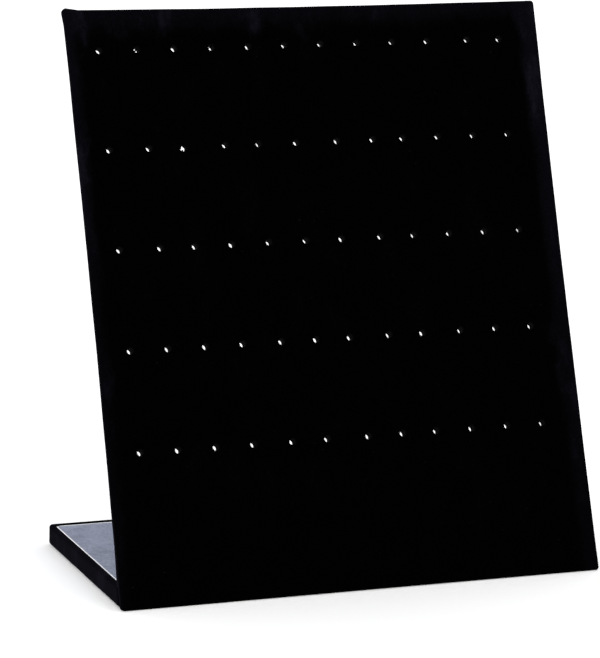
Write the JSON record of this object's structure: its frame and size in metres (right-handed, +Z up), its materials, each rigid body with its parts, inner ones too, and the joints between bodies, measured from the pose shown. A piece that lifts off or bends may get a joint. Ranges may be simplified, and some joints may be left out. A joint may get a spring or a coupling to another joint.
{
  "type": "earring display stand",
  "caption": "L-shaped tabletop earring stand: a velvet-covered panel with rows of through-holes leans back from a flat covered foot with a grey liner.",
  "frame": {"origin": "on the table, under the middle of the stand's overall box", "axes": "+Z up; +Y back, from the panel's front edge over the foot; +X to the right as seen from the front"},
  "size_m": [0.2, 0.1034, 0.2214],
  "materials": {
    "velvet": "black cut-pile velvet, matt with a faint violet sheen",
    "liner": "grey-blue flocked sheet, matt",
    "fibreboard": "raw fibreboard, sanded",
    "brad": "bright drawn wire"
  },
  "bodies": {
    "root": {"panel_board": "fibreboard", "foot_board": "fibreboard", "panel_brads": "brad", "panel_velvet": "velvet", "foot_velvet": "velvet", "back_liner": "liner", "foot_liner": "liner"}
  },
  "joints": []
}
